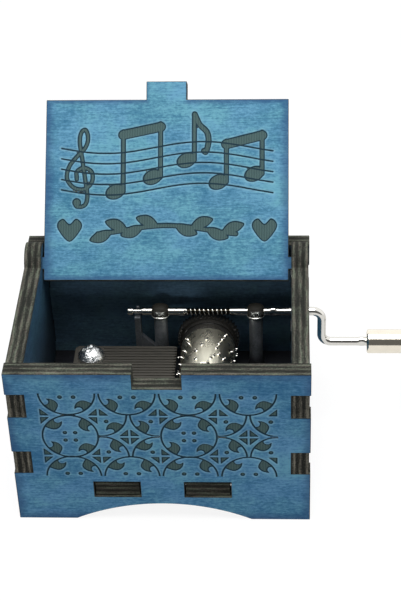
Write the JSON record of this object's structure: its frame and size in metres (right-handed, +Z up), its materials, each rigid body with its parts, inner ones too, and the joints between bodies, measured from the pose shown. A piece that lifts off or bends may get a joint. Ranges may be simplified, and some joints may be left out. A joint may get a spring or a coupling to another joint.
{
  "type": "hand-cranked wooden music box",
  "caption": "Small finger-jointed plywood box with a hinged lid, a comb and pinned-drum movement inside, and a bent wire crank with a turning grip on its right side.",
  "frame": {"origin": "centre of the overall footprint, crank and open lid included, on the plane that the box stands on", "axes": "+X towards the crank's side, +Y towards the back, +Z up"},
  "size_m": [0.0902, 0.069, 0.0717],
  "materials": {
    "blue_ply": "matt blue stain with an engraved pattern",
    "blue_lid": "matt light blue stain with darker cut edges",
    "bare_ply": "bare plywood",
    "casting": "satin grey casting",
    "black_resin": "glossy black",
    "comb_steel": "dark ground steel",
    "brass": "satin",
    "drum_steel": "bright brushed",
    "bright_steel": "bright plated"
  },
  "bodies": {
    "box": {"front_panel": "blue_ply", "back_panel": "blue_ply", "left_panel": "blue_ply", "right_panel": "blue_ply", "floor_panel": "bare_ply", "movement_bed": "casting", "shaft_ball_left": "black_resin", "shaft_ball_right": "black_resin", "comb": "comb_steel", "comb_packing": "brass", "comb_screw_rear": "bright_steel", "comb_screw_front": "bright_steel", "drum_bracket": "casting", "bracket_screw": "bright_steel", "base_screw_1": "bright_steel", "base_screw_2": "bright_steel", "base_screw_3": "bright_steel"},
    "lid": {"lid": "blue_lid"},
    "drum": {"drum": "drum_steel", "drum_gear": "black_resin", "drum_end_cap": "black_resin", "drum_arbor": "bright_steel"},
    "crank": {"crank_wire": "bright_steel"},
    "knob": {"crank_knob": "bright_steel"}
  },
  "joints": [
    {"name": "lid_hinge", "type": "hinge", "parent": "box", "child": "lid", "pos_m": [-0.01282, 0.00628, 0.0397], "axis": [1, 0, 0], "range_deg": [0, 131]},
    {"name": "crank_spin", "type": "hinge", "parent": "box", "child": "crank", "pos_m": [0.02203, 0.00388, 0.028], "axis": [1, 0, 0], "continuous": true},
    {"name": "drum_spin", "type": "hinge", "parent": "box", "child": "drum", "pos_m": [-0.00387, -0.00911, 0.02018], "axis": [0, 1, 0], "continuous": true},
    {"name": "knob_spin", "type": "hinge", "parent": "crank", "child": "knob", "pos_m": [0.03887, 0.00388, 0.0192], "axis": [1, 0, 0], "continuous": true}
  ],
  "couplings": [
    {"joint": "drum_spin", "follows": "crank_spin", "ratio": -0.022727}
  ]
}
